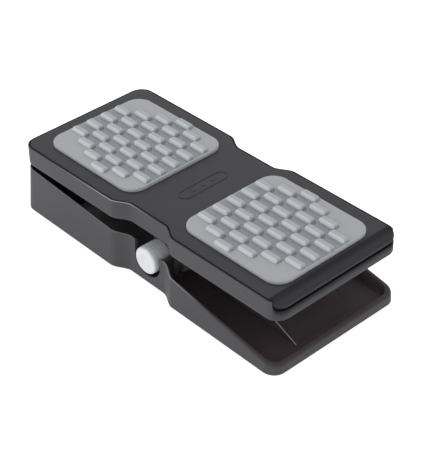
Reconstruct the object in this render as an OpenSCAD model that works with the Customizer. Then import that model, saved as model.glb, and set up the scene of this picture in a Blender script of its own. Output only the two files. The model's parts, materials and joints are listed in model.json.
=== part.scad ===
// Rocker foot pedal. A treadle with two grip pads tilts over an open-heeled base,
// turns a position sensor through a gear sector, and a range knob sits in one waist.
// X runs from the toe end to the heel end, -Y is the knob side and Z is up.
// The origin is on the floor, below the middle of the base.

/* [Base] */
// Length of the base at the floor
base_length = 250; // [250:0.5:254]
// Width of the base at the floor
base_width = 113.4; // [112.4:0.2:116]
// Corner radius of the base
base_corner = 9.4; // [8:0.2:11]
// How far each waist is pulled in
waist_depth = 6; // [5:0.2:7]
// Height of the wall at the toe end
toe_wall_top = 35.4; // [34:0.2:36]
// Height of the wall at the heel end
heel_wall_top = 8.3; // [7.5:0.1:8.6]
// Thickness of the floor of the base
floor_thickness = 2.4; // [2:0.2:3]

/* [Treadle] */
// Length of the treadle
tread_length = 249.2; // [248:0.2:249.2]
// Width of the treadle
tread_width = 109.5; // [108:0.5:111]
// Height of the treadle's top face above the hinge
tread_height = 21; // [20.5:0.1:22]
// Depth of the skirt below the top face
skirt_depth = 14.2; // [13:0.2:14.4]
// Corner radius of the treadle
tread_corner = 10; // [9:0.5:11]
// Tilt at rest, with the toe end down
rest_tilt = 1.26; // [1:0.02:1.3]
// Travel from toe down to heel down
tilt_travel = 15; // [10:1:15]

/* [Grip pads] */
// Length of each pad
pad_length = 90; // [86:1:90]
// Width of each pad
pad_width = 85; // [83:1:88]
// Corner radius of each pad
pad_corner = 12; // [10:1:14]
// Distance from the hinge line to each pad's middle
pad_offset = 68; // [67:0.5:68]
// How far the pad's plain surface stands above the treadle
pad_rise = 2.4; // [1:0.1:2.6]
// How far the blocks stand above the plain surface
block_rise = 2.1; // [0.8:0.1:2.5]
// Length of a block
block_length = 14.2; // [12:0.2:14.4]
// Width of a block
block_width = 6.2; // [5:0.1:6.2]

/* [Range knob] */
// Radius of the knob
knob_radius = 9.8; // [8.5:0.1:10.2]
// How far the knob's face stands from the middle
knob_reach = 52.2; // [50:0.1:53]
// Height of the knob's axis
knob_height = 19; // [18.6:0.1:19]
// Radius of the round bottom of the notch
notch_radius = 12.6; // [12:0.1:13]

/* [Sensor gears] */
// Module of the gear teeth
tooth_module = 1; // [1:1:1]
// Teeth that the sector would have as a whole wheel
sector_teeth = 50; // [50:1:50]
// Teeth of the pinion
pinion_teeth = 10; // [10:1:10]

/* [Hidden] */
$fn = 48;

// Outline
outline_steps = 8;
waist_flat = 16;
waist_end = 31;

// Base
sheet_drop = 0.6;
sheet_thickness = 1.2;
sheet_offset = 74;
sheet_size = [88, 92];
sheet_corner = 8;
sheet_play = 0.2;
screw_head_radius = 3.2;
post_radius = 6;
cheek_inner = 10.4;
cheek_thickness = 2.6;
cheek_rise = 4.2;
cheek_reach = 38;
wall_lean_length = 4;
wall_lean_width = 3.4;
lean_height = 36.4;
lean_scale = [1 - wall_lean_length / base_length, 1 - wall_lean_width / base_width];
wall = 2.4;
tray_length = base_length - wall_lean_length - 2 * wall;
tray_width = base_width - wall_lean_width - 2 * wall;
tray_corner = base_corner - 2.4;
toe_face = -tray_length / 2;
floor_top = sheet_drop + floor_thickness;
toe_fall = 0.0585;
heel_climb = 0.16;
half_length = base_length / 2;
wall_drop = toe_wall_top - heel_wall_top;
wall_meet_x = (wall_drop - (toe_fall + heel_climb) * half_length) / (toe_fall - heel_climb);
wall_meet_z = heel_wall_top + heel_climb * (half_length - wall_meet_x);

// Hinge
pivot_z = 34;
shaft_radius = 3;
running_gap = 0.05;
bracket_inner = 30;
bracket_thickness = 3;
bracket_half = 13;
ear_inner = 26.5;
ear_thickness = 3;
bush_radius = 4.5;
screw_radius = 1.5;
screw_spread = 8;
bracket_screw_y = 21;

// Treadle
tread_shift = tread_height * sin(rest_tilt);
tread_waist = 6.4;
skirt_wall = 2.4;
rim_wall = 0.75;
cap_thickness = 2.6;
cap_bottom = tread_height - cap_thickness;
cap_inset = 1.65;
rim_drop = 0.4;
nose_start = tread_shift + tread_length / 2 - tread_corner;
nose_step = nose_start + 4.7;
nose_bottom = tread_height - 6.8;
nose_gap = 0.4;
nose_slope = 0.16;
nose_curve = 0.01;
pad_pocket = 1.2;
pad_gap = 0.15;
ear_screw_x = 7;
ear_screw_y = 20;

// Pads: columns of blocks from the outer end to the middle
column_counts = [4, 5, 6, 7, 6, 5];
column_pitch = 14.45;
row_pitch = 12.74;
block_corner = 2;

// Bumpers and cover
roof_z = 26.8;
cover_front = 36;
cover_crease = 60;
cover_slope = 0.4416;
cover_half = 25.5;
cover_wall = 2;
board_x = 67;
bumper_gap = 0.3;
toe_bumper_x = 104;
toe_bumper_y = 30;
toe_post_top = 43;
heel_bumper_x = 50;
heel_bumper_y = 14;
heel_bumper_radius = 4.5;

// Gears and sensor
sector_radius = tooth_module * sector_teeth / 2;
pinion_radius = tooth_module * pinion_teeth / 2;
pressure_angle = 25;
tooth_play = 0.09;
mesh_angle = 39.6;
sensor_x = (sector_radius + pinion_radius) * cos(mesh_angle);
sensor_z = pivot_z - (sector_radius + pinion_radius) * sin(mesh_angle);
sensor_shaft_radius = 2.5;
gear_near = 6;
gear_width = 5;
sensor_plate_y = 14;
sensor_plate_half = 9.8;
pot_radius = 8;

// Range control
knob_depth = 14.7;
shaft_reach = 48;
pot_depth = 10.5;

// Toe-end sockets
jack_y = 0;
jack_z = 18;
jack_bore = 3.25;
jack_recess = 2;
switch_y = -28;
switch_z = 18;
lever_width = 3;

// Eases from 0 to 1 with flat ends
function ease(t) = t <= 0 ? 0 : t >= 1 ? 1 : t * t * (3 - 2 * t);

// Points of an arc about [cx, cy]
function arc(cx, cy, r, a0, a1, n) =
  [for (i = [0:n]) let (a = a0 + (a1 - a0) * i / n) [cx + r * cos(a), cy + r * sin(a)]];

// Places along one long side where the waist bends, from toe to heel
function waist_stations() = concat(
  [for (i = [0:outline_steps]) -waist_end + (waist_end - waist_flat) * i / outline_steps],
  [for (i = [0:outline_steps]) waist_flat + (waist_end - waist_flat) * i / outline_steps]
);

// One long side, taken anticlockwise: side is -1 for the near one and 1 for the far one
function waist_side(half, depth, side) = [
  for (x = waist_stations())
    [-side * x, side * (half - depth * (1 - ease((abs(x) - waist_flat) / (waist_end - waist_flat))))]
];

// A long plate with round corners and two waists
function outline(len, wid, r, depth) = let (cx = len / 2 - r, cy = wid / 2 - r, n = outline_steps) concat(
  arc(-cx, -cy, r, 180, 270, n), waist_side(wid / 2, depth, -1), arc(cx, -cy, r, 270, 360, n),
  arc(cx, cy, r, 0, 90, n), waist_side(wid / 2, depth, 1), arc(-cx, cy, r, 90, 180, n)
);

// Angle in degrees between the flank's start and radius r on a base circle rb
function involute(rb, r) = let (f = acos(min(1, rb / r))) tan(f) * 180 / PI - f;

// One tooth pointing along angle a, from root radius rf to tip radius ra
function tooth(a, teeth, rp, rf, ra) =
  let (rb = rp * cos(pressure_angle),
       half = 90 / teeth - tooth_play / rp * 180 / PI + involute(rb, rp),
       steps = 6,
       radii = [for (i = [0:steps]) max(rb, rf) + (ra - max(rb, rf)) * i / steps])
  concat([[rf, a - half]], [for (r = radii) [r, a - half + involute(rb, r)]],
         [for (i = [steps:-1:0]) [radii[i], a + half - involute(rb, radii[i])]], [[rf, a + half]]);

// Turns [radius, angle] pairs into points
function from_polar(list) = [for (p = list) [p[0] * cos(p[1]), p[0] * sin(p[1])]];

// Places children in the treadle's frame, whose origin is on the hinge
module on_treadle() translate([0, 0, pivot_z]) rotate([0, -rest_tilt, 0]) children();

// Mirrors children to the near side when side is -1
module on_side(side) {
  if (side < 0) mirror([0, 1, 0]) children();
  else children();
}

// Extrudes an XZ profile along Y, from y0 to y1
module along_y(y0, y1) translate([0, y1, 0]) rotate([90, 0, 0]) linear_extrude(y1 - y0) children();

// A round bar along Y
module bar_y(x, z, r, y0, y1) along_y(y0, y1) translate([x, z]) circle(r);

// A round bar along X
module bar_x(y, z, r, x0, x1) translate([x0, y, z]) rotate([0, 90, 0]) cylinder(r = r, h = x1 - x0);

// A block given by its lowest and highest corners
module box(low, high) translate(low) cube(high - low);

// A rectangle with round corners
module rounded_rect(len, wid, r) {
  square([len - 2 * r, wid], center = true);
  square([len, wid - 2 * r], center = true);
  for (x = [-1, 1], y = [-1, 1]) translate([x * (len / 2 - r), y * (wid / 2 - r)]) circle(r);
}

// Base -----------------------------------------------------------------

module leaning_block() translate([0, 0, sheet_drop])
  linear_extrude(lean_height, slices = 1, scale = lean_scale)
    polygon(outline(base_length, base_width, base_corner, waist_depth));

module wall_profile() polygon([
  [-half_length - 1, sheet_drop], [-half_length - 1, toe_wall_top + toe_fall], [wall_meet_x, wall_meet_z],
  [half_length + 1, heel_wall_top - heel_climb], [half_length + 1, sheet_drop]
]);

module knob_notch() {
  inner_y = -tray_width / 2 + waist_depth + 1;
  bar_y(0, knob_height, notch_radius, -base_width, inner_y);
  box([-notch_radius, -base_width, knob_height], [notch_radius, inner_y, pivot_z]);
}

module sheet_recesses() for (s = [-1, 1]) translate([s * sheet_offset, 0, 0])
  linear_extrude(sheet_thickness)
    rounded_rect(sheet_size.x + 2 * sheet_play, sheet_size.y + 2 * sheet_play, sheet_corner + sheet_play);

module base_tray() difference() {
  intersection() {
    leaning_block();
    along_y(-base_width, base_width) wall_profile();
  }
  translate([0, 0, floor_top]) linear_extrude(60)
    polygon(outline(tray_length, tray_width, tray_corner, waist_depth));
  knob_notch();
  sheet_recesses();
  bar_x(jack_y, jack_z, 5, -half_length - 1, toe_face + 1);
  bar_x(jack_y, jack_z, 8, -half_length - 1, toe_face - jack_recess);
  box([-half_length - 1, switch_y - 4.2, switch_z - 2.5], [toe_face + 1, switch_y + 4.2, switch_z + 2.5]);
  for (x = [-1, 1], y = [-1, 1]) translate([x * screw_spread, y * bracket_screw_y, 0]) {
    cylinder(r = screw_radius + 0.1, h = 10);
    cylinder(r = screw_head_radius, h = sheet_drop + 1.4);
  }
}

// Rib that stands just beside the knob, from the floor and the waist's wall
module knob_cheek() box(
  [cheek_inner, waist_depth - tray_width / 2 - 0.2, floor_top - 0.5],
  [cheek_inner + cheek_thickness, -cheek_reach, knob_height + cheek_rise]
);

module base_shell() color("#4c4c50") {
  base_tray();
  knob_cheek();
}

module toe_post(side) color("#4c4c50") translate([-toe_bumper_x, side * toe_bumper_y, floor_top])
  cylinder(r = post_radius, h = toe_post_top - floor_top);

module grip_sheet(side) color("#232325") translate([side * sheet_offset, 0, 0])
  linear_extrude(sheet_thickness) rounded_rect(sheet_size.x, sheet_size.y, sheet_corner);

module ballast_plate() color("#7d7f82") translate([-58, 0, floor_top]) linear_extrude(4)
  rounded_rect(66, 84, 4);

module pivot_bracket(side) color("#9a9c9f") on_side(side) difference() {
  union() {
    along_y(bracket_inner, bracket_inner + bracket_thickness) {
      translate([0, pivot_z]) circle(7);
      polygon([[-bracket_half, floor_top], [bracket_half, floor_top], [bracket_half, 22], [7, pivot_z],
               [-7, pivot_z], [-bracket_half, 22]]);
    }
    box([-bracket_half, 14, floor_top], [bracket_half, bracket_inner + 1, floor_top + 2.5]);
  }
  bar_y(0, pivot_z, shaft_radius, 20, 50);
  if (side < 0) bar_y(0, knob_height, 3.6, 20, 50);
  for (x = [-1, 1]) translate([x * screw_spread, bracket_screw_y, 0]) cylinder(r = screw_radius, h = 12);
}

module pivot_shaft() color("#b9bbbe") bar_y(0, pivot_z, shaft_radius, -35, 35);

module shaft_clip(side) color("#8d8f92") on_side(side) along_y(33, 33.8) difference() {
  translate([0, pivot_z]) circle(5);
  translate([0, pivot_z]) circle(shaft_radius);
  translate([-1.8, pivot_z + 1]) square([3.6, 6]);
}

module base_screw(x_side, y_side) color("#b9bbbe")
  translate([x_side * screw_spread, y_side * bracket_screw_y, sheet_drop + 0.2]) difference() {
    union() {
      cylinder(r = 2.9, h = 1.2);
      cylinder(r = screw_radius, h = 6);
    }
    for (a = [0, 90]) rotate(a) translate([-2, -0.4, -1]) cube([4, 0.8, 1.7]);
  }

module cover_profile(inset) {
  run = (roof_z - inset - floor_top) / cover_slope;
  polygon([
    [cover_front + inset, floor_top], [cover_front + inset, roof_z - inset],
    [cover_crease - inset * 0.3, roof_z - inset], [cover_crease - inset * 0.3 + run, floor_top]
  ]);
}

module mechanism_cover() color("#2b2b2d") difference() {
  along_y(-cover_half, cover_half) cover_profile(0);
  translate([0, 0, -0.01]) along_y(cover_wall - cover_half, cover_half - cover_wall)
    cover_profile(cover_wall);
}

module board_post(x_side, y_side) color("#e8e6dd")
  translate([board_x + x_side * 22, y_side * 17, floor_top]) cylinder(r = 2.6, h = 3);

module circuit_board() color("#1f5b3a")
  box([board_x - 25, -20, floor_top + 3], [board_x + 25, 20, floor_top + 4.6]);

module board_chip() color("#1c1c1e") box([62, -5, floor_top + 4.6], [74, 5, floor_top + 6.4]);

module board_header() color("#e2dfd2") box([45, -12, floor_top + 4.6], [51, 12, floor_top + 10]);

// Sensor ---------------------------------------------------------------

module sensor_bracket() color("#9a9c9f") difference() {
  union() {
    translate([sensor_x - sensor_plate_half, sensor_plate_y, floor_top]) {
      cube([2 * sensor_plate_half, 2, sensor_z + 10 - floor_top]);
      cube([2 * sensor_plate_half, 15, 1.6]);
    }
  }
  bar_y(sensor_x, sensor_z, 3.6, 0, 20);
  for (x = [-1, 1]) translate([sensor_x + x * 7, sensor_plate_y + 13, 0]) cylinder(r = screw_radius, h = 12);
}

module sensor_pot() color("#3a3a3c") difference() {
  union() {
    bar_y(sensor_x, sensor_z, pot_radius, sensor_plate_y + 2, sensor_plate_y + 11);
    bar_y(sensor_x, sensor_z, 3.5, sensor_plate_y - 2.2, sensor_plate_y + 3);
  }
  bar_y(sensor_x, sensor_z, sensor_shaft_radius + running_gap, 0, sensor_plate_y + 7);
}

module sensor_nut() color("#c2b27a") along_y(sensor_plate_y - 1.6, sensor_plate_y)
  translate([sensor_x, sensor_z]) difference() {
    circle(5.4, $fn = 6);
    circle(3.5);
  }

module sensor_screw(side) color("#b9bbbe")
  translate([sensor_x + side * 7, sensor_plate_y + 13, floor_top + 1.6]) {
    cylinder(r = 2.2, h = 1.2);
    translate([0, 0, -1.5]) cylinder(r = screw_radius, h = 1.6);
  }

module sensor_shaft() color("#b9bbbe")
  bar_y(sensor_x, sensor_z, sensor_shaft_radius, gear_near - 1, sensor_plate_y + 6.5);

module sensor_pinion() color("#e8e6dd") along_y(gear_near - 0.5, gear_near + gear_width + 0.5)
  translate([sensor_x, sensor_z]) difference() {
    polygon(from_polar([for (k = [0:pinion_teeth - 1], p = tooth(
      180 - mesh_angle + (k + 0.5) * 360 / pinion_teeth, pinion_teeth, pinion_radius,
      pinion_radius - 1.1, pinion_radius + 0.85)) p]));
    circle(sensor_shaft_radius);
  }

// Range control --------------------------------------------------------

module range_pot() color("#3a3a3c") difference() {
  union() {
    bar_y(0, knob_height, pot_radius, -bracket_inner, -bracket_inner + pot_depth);
    bar_y(0, knob_height, 3.5, -36.5, -bracket_inner + 1);
  }
  bar_y(0, knob_height, shaft_radius + running_gap, -40, -28);
}

module range_nut() color("#c2b27a") along_y(-35, -33) translate([0, knob_height]) difference() {
  circle(5.4, $fn = 6);
  circle(3.5);
}

module range_shaft() color("#b9bbbe") bar_y(0, knob_height, shaft_radius, -shaft_reach, -28.3);

module range_knob() color("#dfe2e5") difference() {
  translate([0, -knob_reach, knob_height]) rotate([-90, 0, 0]) rotate_extrude($fn = 72) polygon([
    [0, 0], [knob_radius - 1.4, 0], [knob_radius - 0.4, 0.4], [knob_radius, 1.4], [knob_radius, 5],
    [knob_radius - 0.3, 5.4], [knob_radius - 0.3, knob_depth], [0, knob_depth]
  ]);
  bar_y(0, knob_height, shaft_radius, -shaft_reach, 0);
}

// Toe-end socket and switch ----------------------------------------------

module jack_socket() color("#1f1f21") difference() {
  union() {
    box([toe_face, jack_y - 8, jack_z - 8], [toe_face + 23, jack_y + 8, jack_z + 8]);
    bar_x(jack_y, jack_z, 4.9, toe_face - 3.4, toe_face + 1);
  }
  bar_x(jack_y, jack_z, jack_bore, toe_face - 4, toe_face + 20);
}

module jack_nut() color("#b9bbbe") translate([toe_face - 3.6, jack_y, jack_z]) rotate([0, 90, 0])
  difference() {
    cylinder(r = 7, h = 1.6, $fn = 6);
    translate([0, 0, -1]) cylinder(r = 4.9, h = 4);
  }

module switch_body() color("#1f1f21") difference() {
  box([toe_face, switch_y - 7, switch_z - 5], [toe_face + 7, switch_y + 7, switch_z + 5]);
  translate([toe_face - 1, switch_y - 3.4, switch_z - 2.4]) cube([4, 6.8, 4.8]);
}

module switch_lever() color("#d8d8d8")
  translate([toe_face - 2.8, switch_y - lever_width, switch_z - 2.1]) cube([5.6, lever_width, 4.2]);

module toe_bumper(side) color("#232325") translate([-toe_bumper_x, side * toe_bumper_y, toe_post_top])
  cylinder(r = post_radius, h = pivot_z + cap_bottom - toe_bumper_x * sin(rest_tilt) - bumper_gap - 0.1 - toe_post_top);

// Treadle --------------------------------------------------------------

// The treadle's side view: level as far as the nose, which slopes away to the heel
module rolled_profile() polygon(concat(
  [[-base_length, 0], [-base_length, tread_height]],
  [for (i = [0:outline_steps]) let (u = tread_corner * i / outline_steps)
    [nose_start + u, tread_height - nose_slope * u - nose_curve * u * u]],
  [[nose_start + tread_corner, 0]]
));

// Everything beyond the step where the nose comes out flush with the skirt
module beyond_step(gap, z0) box([nose_step - gap, -base_width, z0], [base_length, base_width, base_length]);

module tread_slab(inset, z0, z1) translate([tread_shift, 0, z0]) linear_extrude(z1 - z0)
  polygon(outline(tread_length - 2 * inset, tread_width - 2 * inset, tread_corner - inset, tread_waist));

module treadle_cap() color("#454548") on_treadle() difference() {
  intersection() {
    union() {
      difference() {
        tread_slab(cap_inset, cap_bottom, tread_height);
        beyond_step(0, 0);
      }
      intersection() {
        tread_slab(0, nose_bottom, tread_height);
        beyond_step(0, 0);
      }
    }
    along_y(-base_width, base_width) rolled_profile();
  }
  for (s = [-1, 1]) at_pad(s, pad_pocket) linear_extrude(10)
    rounded_rect(pad_length + 2 * pad_gap, pad_width + 2 * pad_gap, pad_corner + pad_gap);
  for (x = [-1, 1], y = [-1, 1]) translate([x * ear_screw_x, y * ear_screw_y, cap_bottom - 1])
    cylinder(r = screw_radius, h = 2.8);
}

module treadle_skirt() color("#565659") on_treadle() difference() {
  tread_slab(0, tread_height - skirt_depth, tread_height - rim_drop);
  tread_slab(skirt_wall, 0, base_length);
  tread_slab(rim_wall, cap_bottom, base_length);
  beyond_step(nose_gap, nose_bottom - nose_gap);
}

module grip_block() linear_extrude(pad_rise + block_rise)
  rounded_rect(block_length, block_width, block_corner);

module at_pad(side, drop) translate([tread_shift + side * pad_offset, 0, tread_height - drop]) children();

module grip_pad(side) color("#a0a4a6") on_treadle() at_pad(side, pad_pocket) {
  linear_extrude(pad_pocket + pad_rise) rounded_rect(pad_length, pad_width, pad_corner);
  for (i = [0:len(column_counts) - 1], j = [0:column_counts[i] - 1]) {
    x = side * ((len(column_counts) - 1) / 2 - i) * column_pitch;
    y = (j - (column_counts[i] - 1) / 2) * row_pitch;
    translate([x, y, pad_pocket]) grip_block();
  }
}

module hinge_ear(side) color("#8d8f92") on_treadle() on_side(side) difference() {
  union() {
    along_y(ear_inner, ear_inner + ear_thickness) {
      circle(6);
      polygon([[-5.8, 1.5], [5.8, 1.5], [12, cap_bottom], [-12, cap_bottom]]);
    }
    box([-12, 15, cap_bottom - 2], [12, ear_inner + 1, cap_bottom]);
  }
  bar_y(0, 0, bush_radius, 10, 40);
  for (x = [-1, 1]) translate([x * ear_screw_x, ear_screw_y, 0]) cylinder(r = screw_radius, h = 30);
}

module hinge_bush(side) color("#e8e6dd") on_treadle() on_side(side) difference() {
  union() {
    bar_y(0, 0, bush_radius, ear_inner, ear_inner + ear_thickness);
    bar_y(0, 0, 5.8, ear_inner + ear_thickness, ear_inner + ear_thickness + 0.4);
  }
  bar_y(0, 0, shaft_radius + running_gap, 10, 40);
}

module ear_screw(x_side, y_side) color("#b9bbbe") on_treadle()
  translate([x_side * ear_screw_x, y_side * ear_screw_y, cap_bottom - 2]) {
    translate([0, 0, -1.2]) cylinder(r = 2.4, h = 1.2);
    cylinder(r = screw_radius, h = 3.7);
  }

module sector_gear() color("#e8e6dd") on_treadle() along_y(gear_near, gear_near + gear_width) difference() {
  union() {
    circle(6);
    polygon([[-5.8, 1.5], [5.8, 1.5], [12, cap_bottom], [-12, cap_bottom]]);
    polygon(concat([[0, 0]], from_polar([for (k = [-2:4], p = tooth(
      k * 360 / sector_teeth - mesh_angle - rest_tilt, sector_teeth, sector_radius,
      sector_radius - 1.15, sector_radius + 0.85)) p])));
  }
  circle(shaft_radius + running_gap);
}

module heel_bumper(side) color("#232325") on_treadle() {
  end_tilt = tilt_travel - rest_tilt;
  outer_x = heel_bumper_x + heel_bumper_radius;
  low_z = (roof_z + bumper_gap - pivot_z + outer_x * sin(end_tilt)) / cos(end_tilt);
  translate([heel_bumper_x, side * heel_bumper_y, low_z])
    cylinder(r = heel_bumper_radius, h = cap_bottom - low_z);
}

base_shell();
grip_sheet(-1);  // grip_sheet_toe
grip_sheet(1);  // grip_sheet_heel
ballast_plate();
pivot_bracket(-1);  // pivot_bracket_near
pivot_bracket(1);  // pivot_bracket_far
pivot_shaft();
shaft_clip(-1);  // shaft_clip_near
shaft_clip(1);  // shaft_clip_far
base_screw(-1, -1);  // base_screw_1
base_screw(1, -1);  // base_screw_2
base_screw(-1, 1);  // base_screw_3
base_screw(1, 1);  // base_screw_4
mechanism_cover();
circuit_board();
board_chip();
board_header();
board_post(-1, -1);  // board_post_1
board_post(1, -1);  // board_post_2
board_post(-1, 1);  // board_post_3
board_post(1, 1);  // board_post_4
sensor_bracket();
sensor_pot();
sensor_nut();
sensor_screw(-1);  // sensor_screw_1
sensor_screw(1);  // sensor_screw_2
range_pot();
range_nut();
jack_socket();
jack_nut();
switch_body();
toe_post(-1);  // toe_post_near
toe_post(1);  // toe_post_far
toe_bumper(-1);  // toe_bumper_near
toe_bumper(1);  // toe_bumper_far
treadle_cap();
treadle_skirt();
grip_pad(-1);  // toe_pad
grip_pad(1);  // heel_pad
hinge_ear(-1);  // hinge_ear_near
hinge_ear(1);  // hinge_ear_far
hinge_bush(-1);  // hinge_bush_near
hinge_bush(1);  // hinge_bush_far
sector_gear();
heel_bumper(-1);  // heel_bumper_near
heel_bumper(1);  // heel_bumper_far
ear_screw(-1, -1);  // ear_screw_1
ear_screw(1, -1);  // ear_screw_2
ear_screw(-1, 1);  // ear_screw_3
ear_screw(1, 1);  // ear_screw_4
range_knob();
range_shaft();
sensor_shaft();
sensor_pinion();
switch_lever();
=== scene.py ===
"""Rocker foot pedal: a waisted treadle with two grip pads over a base that is open at the heel."""
import json
import math

import bmesh
import bpy
import numpy as np
from mathutils import Matrix, Vector


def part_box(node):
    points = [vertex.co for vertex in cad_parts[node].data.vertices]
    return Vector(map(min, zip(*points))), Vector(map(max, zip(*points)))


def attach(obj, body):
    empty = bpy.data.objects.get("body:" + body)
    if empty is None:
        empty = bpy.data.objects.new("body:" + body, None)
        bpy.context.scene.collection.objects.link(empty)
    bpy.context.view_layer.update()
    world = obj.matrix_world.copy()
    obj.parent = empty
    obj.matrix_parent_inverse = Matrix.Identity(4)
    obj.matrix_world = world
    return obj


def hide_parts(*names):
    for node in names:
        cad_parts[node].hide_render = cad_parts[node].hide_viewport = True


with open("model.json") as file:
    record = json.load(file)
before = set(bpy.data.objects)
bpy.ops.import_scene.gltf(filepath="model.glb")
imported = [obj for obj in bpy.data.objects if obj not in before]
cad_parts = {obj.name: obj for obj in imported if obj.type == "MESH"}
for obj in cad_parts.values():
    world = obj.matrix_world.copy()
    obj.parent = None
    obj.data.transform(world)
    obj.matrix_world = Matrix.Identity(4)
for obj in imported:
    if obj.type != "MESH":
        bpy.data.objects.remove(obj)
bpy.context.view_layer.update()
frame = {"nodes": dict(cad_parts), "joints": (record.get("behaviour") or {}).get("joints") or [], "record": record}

# Sizes below are in millimetres, and are turned into metres when a mesh is finished
MM = 0.001
JOINTS = {j["name"]: j for j in frame["joints"]}
SLOTS = {s["node"]: s["material_slot"] for s in frame["record"]["subparts"]}
BODIES = {node: body for body, nodes in frame["record"]["behaviour"]["bodies"].items()
          for node in nodes}

# Outline of the waisted plates
WAIST_FLAT = 16.0
WAIST_END = 31.0
ARC_STEPS = 18
BEND_STEPS = 14

# Treadle, in its own frame: the hinge is the origin and the top face is level
REST_TILT = math.radians(1.26)
TREAD_LENGTH = 249.2
TREAD_WIDTH = 109.5
TREAD_CORNER = 10.0
TREAD_WAIST = 6.4
TREAD_TOP = 21.0
SKIRT_BOTTOM = TREAD_TOP - 14.2
SKIRT_WALL = 2.4
RIM_WALL = 0.75
RIM_TOP = TREAD_TOP - 0.4
CAP_BOTTOM = TREAD_TOP - 2.6
CAP_INSET = 1.65
CAP_EDGE = 0.5
NOSE_SLOPE = 0.16
NOSE_CURVE = 0.01
NOSE_BOTTOM = TREAD_TOP - 6.8
NOSE_GAP = 0.15
NOSE_ROUND = (1.5, 1.2)
NOSE_TUCK = 3.2
RIM_STOP = 26.5     # degrees round a heel corner
NOSE_FLUSH = 29.0   # degrees round a heel corner
STEP_RUN = 3.2
STEP_RISE = 5.2
STEP_BANDS = (5.2, 4.4, 3.6, 2.8, 2.0, 1.2)
TREAD_SHIFT = TREAD_TOP * math.sin(REST_TILT)
NOSE_START = TREAD_SHIFT + TREAD_LENGTH / 2 - TREAD_CORNER
TREAD_FRAME = (Matrix.Translation(Vector(JOINTS["treadle_tilt"]["pos_m"]))
               @ Matrix.Rotation(-REST_TILT, 4, "Y"))

# Pads
PAD_LENGTH = 90.0
PAD_WIDTH = 85.0
PAD_CORNER = 12.0
PAD_OFFSET = 68.0
PAD_POCKET = 1.2
PAD_GAP = 0.15
PAD_RISE = 2.4
PAD_EDGE = 1.3
BLOCK_LENGTH = 14.2
BLOCK_WIDTH = 6.2
BLOCK_RISE = 2.1
BLOCK_CORNER = 2.3
BLOCK_PROFILE = ((-0.5, 0), (-0.35, 0.3), (-0.1, 0.54), (0.15, 0.68), (0.5, 0.85), (0.9, 0.96),
                 (1.4, 1.0), (2.4, 1.01))
COLUMNS = 6
LONGEST_COLUMN = 7
COLUMN_PITCH = 14.45
ROW_PITCH = 12.74
PIT_DEPTH = 0.7
PIT_CORNER = 1.6

# Base
BASE_LOW, BASE_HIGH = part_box("base_shell")
BASE_LENGTH = (BASE_HIGH.x - BASE_LOW.x) / MM
BASE_WIDTH = (BASE_HIGH.y - BASE_LOW.y) / MM
BASE_CORNER = 9.4
BASE_WAIST = 6.0
BASE_BOTTOM = BASE_LOW.z / MM
BASE_FLOOR = BASE_BOTTOM + 2.4
WALL_LEAN = (4.0, 3.4)   # both ends together, both sides together
LEAN_HEIGHT = 36.4
WALL = 2.4
WALL_LAND = 0.35
RIM_POINTS = 7
FLOOR_FILLET = 1.6
TOE_WALL_TOP = 35.4
HEEL_WALL_TOP = 8.3
TOE_FALL = 0.0585
HEEL_CLIMB = 0.16
HEEL_START = 100.0
HEEL_BLEND = 20.0
SHEET_OFFSET = 74.0
SHEET_RECESS = (88.4, 92.4, 8.2, 1.2)   # length, width, corner, depth
KNOB_HEIGHT = JOINTS["range_turn"]["pos_m"][2] / MM
NOTCH_RADIUS = 12.6
NOTCH_STEPS = 28
NOTCH_SIDE = 40.0
CHEEK_INNER = 10.4
CHEEK_THICKNESS = 2.6
CHEEK_RISE = 4.2
CHEEK_REACH = 38.0
COVER_CREASE = 60.0
COVER_BEAD = 0.3
SOCKET_HOLE = 5.0
SOCKET_RECESS = 8.0
SLOT_HALF = (4.2, 2.5)
SCREW_RECESS = 3.2

# Badge: half length, half width, width of the ring, height, places of the studs
BADGE_RING = (21.0, 5.0, 0.9, 0.3)
BADGE_STUDS = (-8.5, 0.0, 8.5)

# Knob
KNOB_ROUND = (1.7, 1.6)
KNOB_FACE_END = 4.6
KNOB_GRIP_INSET = 0.25
RIB_COUNT = 60
RIB_RADIUS = 0.22
RIB_START = 5.6

# Painted light by place, on the attribute "mark": 1 is painted shade, -1 is a painted highlight
CREASE_SHADE = 0.35
CREASE_DEEPER = 0.5
CREASE_FADE = 0.6
STEP_SHADE = 0.25
STEP_DEEPER = 0.7
SKIRT_HIGHLIGHT = -0.7
SKIRT_HIGHLIGHT_PLACE = -25
SKIRT_HIGHLIGHT_FADE = 12
RIM_HIGHLIGHT_HEEL_HALF = 0.75
RIM_HIGHLIGHT_TOE_HALF = 0.45
RIM_HIGHLIGHT_END = 90
HIGHLIGHT_PALER = 6

# Painted light by place, on the pads' attribute "relief": below 0 is painted shade, above 1 is paler, and from 1.3
# up a painted highlight
RIM_HIGHLIGHT_RELIEF = 0.8
RELIEF_TOP = 1.2
RELIEF_LIT = 2.0
RELIEF_SHADED = -1.0

# Stage: the floor in millimetres, places in metres
FLOOR_SIZE = 6000
LIGHT_AIM = (0, 0, 0.03)
VIEW_AZIMUTH = math.radians(46.96)
VIEW_ELEVATION = math.radians(37.32)
VIEW_DISTANCE = 1.00456
VIEW_AIM = Vector((0.02180, -0.00740, 0.03032))
VIEW_LENS = 117.47
VIEW_SENSOR = 36


# Shapes ---------------------------------------------------------------------

def ease(t):
    """Goes from 0 to 1 with flat ends."""
    t = min(max(t, 0.0), 1.0)
    return t * t * (3 - 2 * t)


def arc(cx, cy, radius, start, turn, steps=ARC_STEPS):
    """Points of an arc about (cx, cy), in degrees."""
    return arc_at(cx, cy, radius, [start + turn * i / steps for i in range(steps + 1)])


def arc_at(cx, cy, radius, angles):
    """Points about (cx, cy) at the given angles, in degrees."""
    turns = [math.radians(a) for a in angles]
    return [(cx + radius * math.cos(a), cy + radius * math.sin(a)) for a in turns]


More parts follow.
